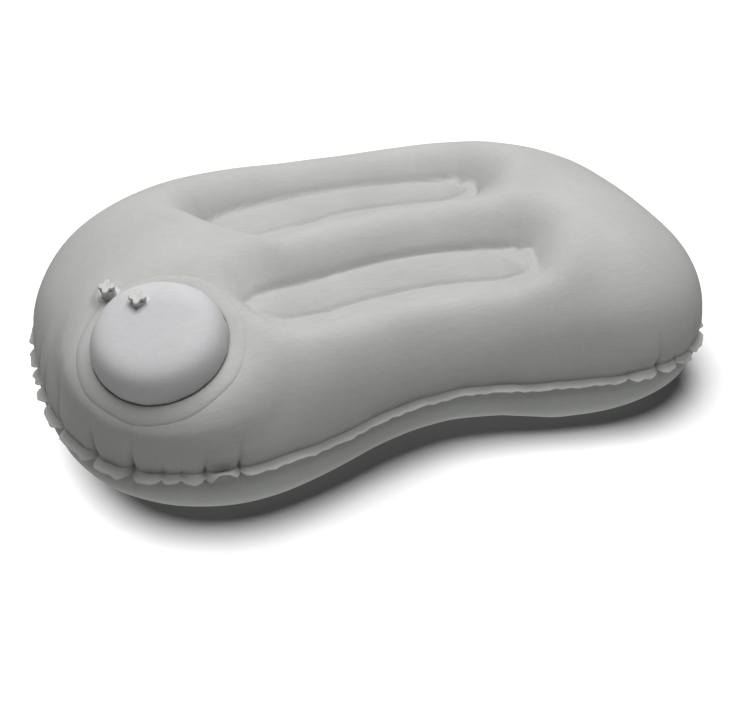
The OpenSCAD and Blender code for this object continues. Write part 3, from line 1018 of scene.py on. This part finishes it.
def stretched_noise(tree, coords, scale, detail, rough):
    """Noise whose grain has its own scale along each axis of the object."""
    mapping = tree.nodes.new("ShaderNodeMapping")
    mapping.inputs["Scale"].default_value = scale
    tree.links.new(coords, mapping.inputs["Vector"])
    noise = node(tree, "ShaderNodeTexNoise", Scale=1.0, Detail=detail, Roughness=rough)
    tree.links.new(mapping.outputs["Vector"], noise.inputs["Vector"])
    return noise.outputs["Fac"]


def math_node(tree, kind, *values):
    """Arithmetic of a kind on values that are numbers or other nodes' outputs."""
    made = tree.nodes.new("ShaderNodeMath")
    made.operation = kind
    for slot, value in zip(made.inputs, values):
        if isinstance(value, (int, float)):
            slot.default_value = value
        else:
            tree.links.new(value, slot)
    return made.outputs[0]


def weighted(tree, first, second):
    """Sum of two values, each given with its weight."""
    parts = [math_node(tree, "MULTIPLY", value, weight) for value, weight in (first, second)]
    return math_node(tree, "ADD", *parts)


def ramp(tree, fac, stops):
    """A colour that follows a value through stops of (place, colour)."""
    made = tree.nodes.new("ShaderNodeValToRGB")
    elements = made.color_ramp.elements
    while len(elements) < len(stops):
        elements.new(0.5)
    for element, (place, colour) in zip(elements, stops):
        element.position = place
        element.color = (*colour, 1)
    tree.links.new(fac, made.inputs["Fac"])
    return made.outputs["Color"]


def material(name, roughness, specular, sheen=0.0):
    """A plain material, with its node tree, shader and object coordinates."""
    mat = bpy.data.materials.new(name)
    mat.use_nodes = True
    tree = mat.node_tree
    shader = tree.nodes["Principled BSDF"]
    shader.inputs["Roughness"].default_value = roughness
    shader.inputs["Specular IOR Level"].default_value = specular
    shader.inputs["Sheen Weight"].default_value = sheen
    coords = tree.nodes.new("ShaderNodeTexCoord").outputs["Object"]
    return mat, tree, shader, coords


def add_bump(tree, shader, height, distance, strength):
    """Bump from a height of 0 to 1, which stands for a distance in metres."""
    bump = node(tree, "ShaderNodeBump", Strength=strength, Distance=distance)
    tree.links.new(height, bump.inputs["Height"])
    tree.links.new(bump.outputs["Normal"], shader.inputs["Normal"])


def vary_roughness(tree, shader, value, least, most):
    """Makes the roughness follow a value of 0 to 1."""
    rough = node(tree, "ShaderNodeMapRange", To_Min=least, To_Max=most)
    tree.links.new(value, rough.inputs["Value"])
    tree.links.new(rough.outputs["Result"], shader.inputs["Roughness"])


def woven_fabric(name, shades, roughness):
    """Fine plain weave with slubbed threads across and along, and faint cloudy tone."""
    dark, light = shades
    mat, tree, shader, coords = material(name, roughness, 0.03)
    across = stretched_noise(tree, coords, (55, 900, 900), 3, 0.6)
    along = stretched_noise(tree, coords, (900, 60, 240), 2, 0.5)
    cloud = stretched_noise(tree, coords, (14, 14, 14), 3, 0.5)
    threads = weighted(tree, (across, 0.8), (along, 0.2))
    tone = weighted(tree, (threads, 0.55), (cloud, 0.45))
    colour = ramp(tree, tone, [(0.35, dark), (0.65, light)])
    tree.links.new(colour, shader.inputs["Base Color"])
    vary_roughness(tree, shader, threads, roughness - 0.05, roughness + 0.07)
    add_bump(tree, shader, threads, 0.15 * MM, 0.7)
    return mat


def moulded(name, shades, roughness, specular):
    """Soft moulded plastic or film with a fine skin and slight tone changes."""
    dark, light = shades
    mat, tree, shader, coords = material(name, roughness, specular)
    fine = stretched_noise(tree, coords, (900, 900, 900), 3, 0.55)
    cloud = stretched_noise(tree, coords, (90, 90, 90), 2, 0.5)
    tone = weighted(tree, (fine, 0.4), (cloud, 0.6))
    tree.links.new(ramp(tree, tone, [(0.3, dark), (0.7, light)]), shader.inputs["Base Color"])
    vary_roughness(tree, shader, fine, roughness - 0.06, roughness + 0.08)
    add_bump(tree, shader, fine, 0.08 * MM, 0.5)
    return mat


def foam_material(name, shades):
    """Open foam: its own colour on the light cell walls, and painted shade in the dark cell mouths
    between them.
    """
    dark, light = shades
    mat, tree, shader, coords = material(name, 0.9, 0.2, sheen=0.1)
    cells = node(tree, "ShaderNodeTexVoronoi", Scale=900)
    tree.links.new(coords, cells.inputs["Vector"])
    # Painted shade: darker towards the middle of each cell, where the pores are.
    colour = ramp(tree, cells.outputs["Distance"], [(0.1, dark), (0.6, light)])
    tree.links.new(colour, shader.inputs["Base Color"])
    add_bump(tree, shader, cells.outputs["Distance"], 0.5 * MM, 0.8)
    return mat


def dress(obj, mat):
    """Gives an object one material."""
    obj.data.materials.clear()
    obj.data.materials.append(mat)


# ---------------------------------------------------------------- stage

def make_camera():
    """A camera turned about its target by azimuth and elevation, then rolled."""
    azimuth, elevation, roll = (
        math.radians(v) for v in (CAMERA_AZIMUTH, CAMERA_ELEVATION, CAMERA_ROLL)
    )
    back = Vector((
        math.sin(azimuth) * math.cos(elevation), -math.cos(azimuth) * math.cos(elevation),
        math.sin(elevation),
    ))
    right = Vector((math.cos(azimuth), math.sin(azimuth), 0))
    up = back.cross(right)
    right, up = (
        right * math.cos(roll) + up * math.sin(roll), up * math.cos(roll) - right * math.sin(roll)
    )
    turn = Matrix((right, up, back)).transposed().to_4x4()
    data = bpy.data.cameras.new("camera")
    data.sensor_width = SENSOR_WIDTH
    data.lens = CAMERA_LENS
    data.shift_x, data.shift_y = CAMERA_SHIFT
    data.clip_start = NEAREST_SEEN
    camera = bpy.data.objects.new("camera", data)
    camera.matrix_world = Matrix.Translation(Vector(CAMERA_TARGET) + back * CAMERA_DISTANCE) @ turn
    bpy.context.scene.collection.objects.link(camera)
    bpy.context.scene.camera = camera


def area_light(name, place, target, size, power):
    """A rectangular lamp."""
    data = bpy.data.lights.new(name, "AREA")
    data.shape = "RECTANGLE"
    data.size, data.size_y = size
    data.energy = power
    return place_light(data, place, target)


def place_light(data, place, target):
    """Hangs a light at a place, turned to a target."""
    light = bpy.data.objects.new(data.name, data)
    light.location = place
    light.rotation_euler = (Vector(target) - Vector(place)).to_track_quat("-Z", "Y").to_euler()
    bpy.context.scene.collection.objects.link(light)
    return light


def limit_light(light, obj, state):
    """Makes a light shine only on an object (INCLUDE), or on all but it (EXCLUDE)."""
    group = bpy.data.collections.new(light.name + "_reach")
    group.objects.link(obj)
    group.collection_objects[0].light_linking.link_state = state
    light.light_linking.receiver_collection = group


def sky_shade(tree, height, levels):
    """A tinted shade that changes with height: its levels straight down, at the horizon and
    straight up."""
    below, level, above = levels
    stops = [(0.0, below), (SKY_BELOW_TOP, level), (SKY_LEVEL_TOP, level), (1.0, above)]
    return ramp(tree, height, [(place, tuple(v * c for c in SKY_TINT)) for place, v in stops])


def make_sky():
    """An even surround: lit paper below, softboxes in front and behind, dark at the sides. It
    is seen as plain white."""
    world = bpy.data.worlds.new("studio")
    bpy.context.scene.world = world
    world.use_nodes = True
    tree = world.node_tree
    background = tree.nodes["Background"]
    place = tree.nodes.new("ShaderNodeTexCoord").outputs["Generated"]
    parts = tree.nodes.new("ShaderNodeSeparateXYZ")
    tree.links.new(place, parts.inputs["Vector"])
    height = tree.nodes.new("ShaderNodeMapRange")
    height.inputs["From Min"].default_value = -1
    tree.links.new(parts.outputs["Z"], height.inputs["Value"])
    front = math_node(tree, "MULTIPLY", parts.outputs["Y"], -SKY_FRONT)
    back = math_node(tree, "MULTIPLY", parts.outputs["Y"], SKY_BACK)
    boxes = tree.nodes.new("ShaderNodeVectorMath")
    boxes.operation = "SCALE"
    tree.links.new(sky_shade(tree, height.outputs["Result"], (0, 1, 0)), boxes.inputs[0])
    tree.links.new(math_node(tree, "MAXIMUM", front, back), boxes.inputs["Scale"])
    total = tree.nodes.new("ShaderNodeVectorMath")
    total.operation = "ADD"
    ends = sky_shade(tree, height.outputs["Result"], (SKY_BELOW, 0, 0))
    tree.links.new(boxes.outputs[0], total.inputs[0])
    tree.links.new(ends, total.inputs[1])
    seen = tree.nodes.new("ShaderNodeVectorMath")
    seen.operation = "MAXIMUM"
    ray = tree.nodes.new("ShaderNodeLightPath").outputs["Is Camera Ray"]
    tree.links.new(total.outputs[0], seen.inputs[0])
    tree.links.new(ray, seen.inputs[1])
    tree.links.new(seen.outputs[0], background.inputs["Color"])


def make_light(floor):
    """A soft studio: the surround, a key lamp high over the pillow, and a wide soft sun for
    the floor alone, which keeps its shadow close."""
    make_sky()
    key = area_light("key", KEY_PLACE, KEY_TARGET, KEY_SIZE, KEY_POWER)
    limit_light(key, floor, "EXCLUDE")
    data = bpy.data.lights.new("floor_sun", "SUN")
    data.energy = FLOOR_SUN_STRENGTH
    data.angle = math.radians(FLOOR_SUN_SPREAD)
    sun = place_light(data, FLOOR_SUN_PLACE, (0, 0, 0))
    limit_light(sun, floor, "INCLUDE")


def make_floor():
    """The pale floor. It takes the pillow's shadow, and throws neither light nor shadow back."""
    corners = [(x, y, 0) for x, y in ((-1, -1), (1, -1), (1, 1), (-1, 1))]
    mesh = bpy.data.meshes.new("floor")
    mesh.from_pydata([Vector(c) * FLOOR_REACH for c in corners], [], [(0, 1, 2, 3)])
    floor = bpy.data.objects.new("floor", mesh)
    bpy.context.scene.collection.objects.link(floor)
    mat, _, shader, _ = material("floor_paper", 0.95, 0.1)
    shader.inputs["Base Color"].default_value = FLOOR_SHADE
    dress(floor, mat)
    floor.visible_diffuse = False
    floor.visible_shadow = False
    return floor


# ---------------------------------------------------------------- build

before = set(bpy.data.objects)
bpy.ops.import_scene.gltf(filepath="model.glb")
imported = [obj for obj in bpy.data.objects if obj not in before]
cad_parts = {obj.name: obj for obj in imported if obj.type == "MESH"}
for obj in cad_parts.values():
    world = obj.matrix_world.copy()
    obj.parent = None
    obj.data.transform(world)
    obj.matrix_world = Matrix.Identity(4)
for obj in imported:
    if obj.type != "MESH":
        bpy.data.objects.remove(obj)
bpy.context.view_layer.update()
make_camera()
make_light(make_floor())
bpy.context.scene.view_settings.view_transform = "Standard"

fabric = woven_fabric("shell_weave", SHELL_SHADES, 0.85)
# The flange weave is lighter than the shell's: a painted highlight on the flange.
flange_fabric_painted_lighter = woven_fabric("flange_weave_painted_lighter", FLANGE_PAINTED_LIGHT_SHADES, 0.8)
pump_fabric = woven_fabric("pump_weave", PUMP_SHADES, 0.8)
lining = moulded("lining_film", LINING_SHADES, 0.5, 0.4)
plastic = moulded("valve_plastic", PLASTIC_SHADES, 0.42, 0.45)
sponge = foam_material("open_cell_foam_pore_shade", FOAM_COLOUR_AND_PORE_SHADE)

top = cover_mesh("top_cover", 1, top_surface, TOP_RINGS, CROWN_END, 1.0)
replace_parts(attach(top, "shell"), "top_panel")
dress(top, fabric)

bottom = cover_mesh("bottom_cover", -1, bottom_surface, BOTTOM_RINGS, SEAM_HEIGHT, 0.6)
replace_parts(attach(bottom, "shell"), "bottom_panel")
dress(bottom, fabric)

flange = make_flange()
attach(flange, "shell")
dress(flange, flange_fabric_painted_lighter)

dome, ring, base = make_pump(top)
dress(dome, pump_fabric)
dress(ring, fabric)
dress(base, lining)
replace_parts(dome, "pump_sidewall", "pump_crown")
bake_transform(dome)
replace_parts(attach(ring, "shell"), "pump_weld_ring")
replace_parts(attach(base, "shell"), "pump_base")

foam = make_foam()
dress(foam, sponge)
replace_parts(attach(foam, "shell"), "pump_foam")
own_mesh(foam)

for piece, body, stands_for in make_valves():
    dress(piece, plastic)
    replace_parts(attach(piece, body), stands_for)

for name in ("front_baffle", "rear_baffle"):
    dress(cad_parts[name], lining)
for name in ("transfer_valve_seat", "transfer_valve_flap", "intake_valve_flap"):
    dress(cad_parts[name], plastic)
